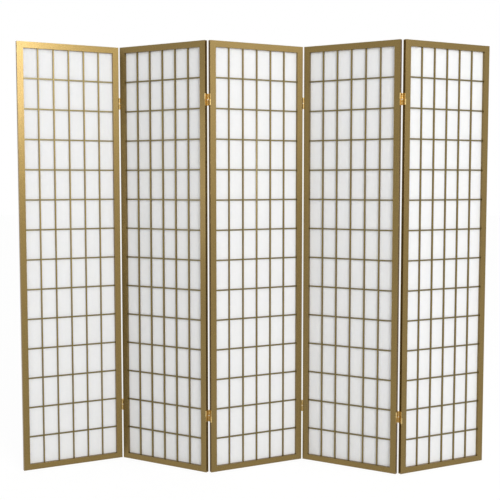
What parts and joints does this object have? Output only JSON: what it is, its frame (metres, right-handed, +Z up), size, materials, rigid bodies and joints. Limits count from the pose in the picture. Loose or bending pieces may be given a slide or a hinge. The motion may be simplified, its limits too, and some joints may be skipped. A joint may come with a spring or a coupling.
{
  "type": "shoji screen",
  "caption": "Free-standing folding screen of hinged wooden lattice panels backed with translucent paper, set in a zigzag, with hinges that let each fold close flat.",
  "frame": {"origin": "on the floor plane, below the middle of the middle panel, which is the centre of the standing zigzag's plan", "axes": "+X runs along the screen to the right as it is seen from its lattice side, -Y faces that viewer, +Z is up"},
  "size_m": [1.9646, 0.232, 1.784],
  "materials": {
    "gold_frame": "satin gold paint on straight-grained softwood",
    "gold_lattice": "satin gold paint on softwood",
    "shoji_paper": "matt white rice paper with long fibres, translucent",
    "brass_hinge": "satin brass",
    "brass_screw": "polished brass"
  },
  "bodies": {
    "panel_1": {"panel_1_left_stile": "gold_frame", "panel_1_right_stile": "gold_frame", "panel_1_top_rail": "gold_frame", "panel_1_bottom_rail": "gold_frame", "panel_1_upright_slats": "gold_lattice", "panel_1_level_slats": "gold_lattice", "panel_1_paper": "shoji_paper", "panel_1_hinge_leaves": "brass_hinge", "panel_1_hinge_pins": "brass_hinge", "panel_1_hinge_screws": "brass_screw", "fold_1_lower_links": "brass_hinge"},
    "panel_2": {"panel_2_left_stile": "gold_frame", "panel_2_right_stile": "gold_frame", "panel_2_top_rail": "gold_frame", "panel_2_bottom_rail": "gold_frame", "panel_2_upright_slats": "gold_lattice", "panel_2_level_slats": "gold_lattice", "panel_2_paper": "shoji_paper", "panel_2_hinge_leaves": "brass_hinge", "panel_2_hinge_pins": "brass_hinge", "panel_2_hinge_screws": "brass_screw", "fold_1_upper_links": "brass_hinge", "fold_2_upper_links": "brass_hinge"},
    "panel_3": {"panel_3_left_stile": "gold_frame", "panel_3_right_stile": "gold_frame", "panel_3_top_rail": "gold_frame", "panel_3_bottom_rail": "gold_frame", "panel_3_upright_slats": "gold_lattice", "panel_3_level_slats": "gold_lattice", "panel_3_paper": "shoji_paper", "panel_3_hinge_leaves": "brass_hinge", "panel_3_hinge_pins": "brass_hinge", "panel_3_hinge_screws": "brass_screw", "fold_2_lower_links": "brass_hinge", "fold_3_lower_links": "brass_hinge"},
    "panel_4": {"panel_4_left_stile": "gold_frame", "panel_4_right_stile": "gold_frame", "panel_4_top_rail": "gold_frame", "panel_4_bottom_rail": "gold_frame", "panel_4_upright_slats": "gold_lattice", "panel_4_level_slats": "gold_lattice", "panel_4_paper": "shoji_paper", "panel_4_hinge_leaves": "brass_hinge", "panel_4_hinge_pins": "brass_hinge", "panel_4_hinge_screws": "brass_screw", "fold_3_upper_links": "brass_hinge", "fold_4_upper_links": "brass_hinge"},
    "panel_5": {"panel_5_left_stile": "gold_frame", "panel_5_right_stile": "gold_frame", "panel_5_top_rail": "gold_frame", "panel_5_bottom_rail": "gold_frame", "panel_5_upright_slats": "gold_lattice", "panel_5_level_slats": "gold_lattice", "panel_5_paper": "shoji_paper", "panel_5_hinge_leaves": "brass_hinge", "panel_5_hinge_pins": "brass_hinge", "panel_5_hinge_screws": "brass_screw", "fold_4_lower_links": "brass_hinge"}
  },
  "joints": [
    {"name": "fold_2", "type": "hinge", "parent": "panel_3", "child": "panel_2", "pos_m": [-0.19699, -0.09279, 0], "axis": [0, 0, -1], "range_deg": [-56.5, 118]},
    {"name": "fold_1", "type": "hinge", "parent": "panel_2", "child": "panel_1", "pos_m": [-0.59098, 0.09279, 0], "axis": [0, 0, 1], "range_deg": [-56.5, 121.5]},
    {"name": "fold_3", "type": "hinge", "parent": "panel_3", "child": "panel_4", "pos_m": [0.19699, 0.09279, 0], "axis": [0, 0, -1], "range_deg": [-56.5, 118]},
    {"name": "fold_4", "type": "hinge", "parent": "panel_4", "child": "panel_5", "pos_m": [0.59098, -0.09279, 0], "axis": [0, 0, 1], "range_deg": [-56.5, 121.5]}
  ]
}
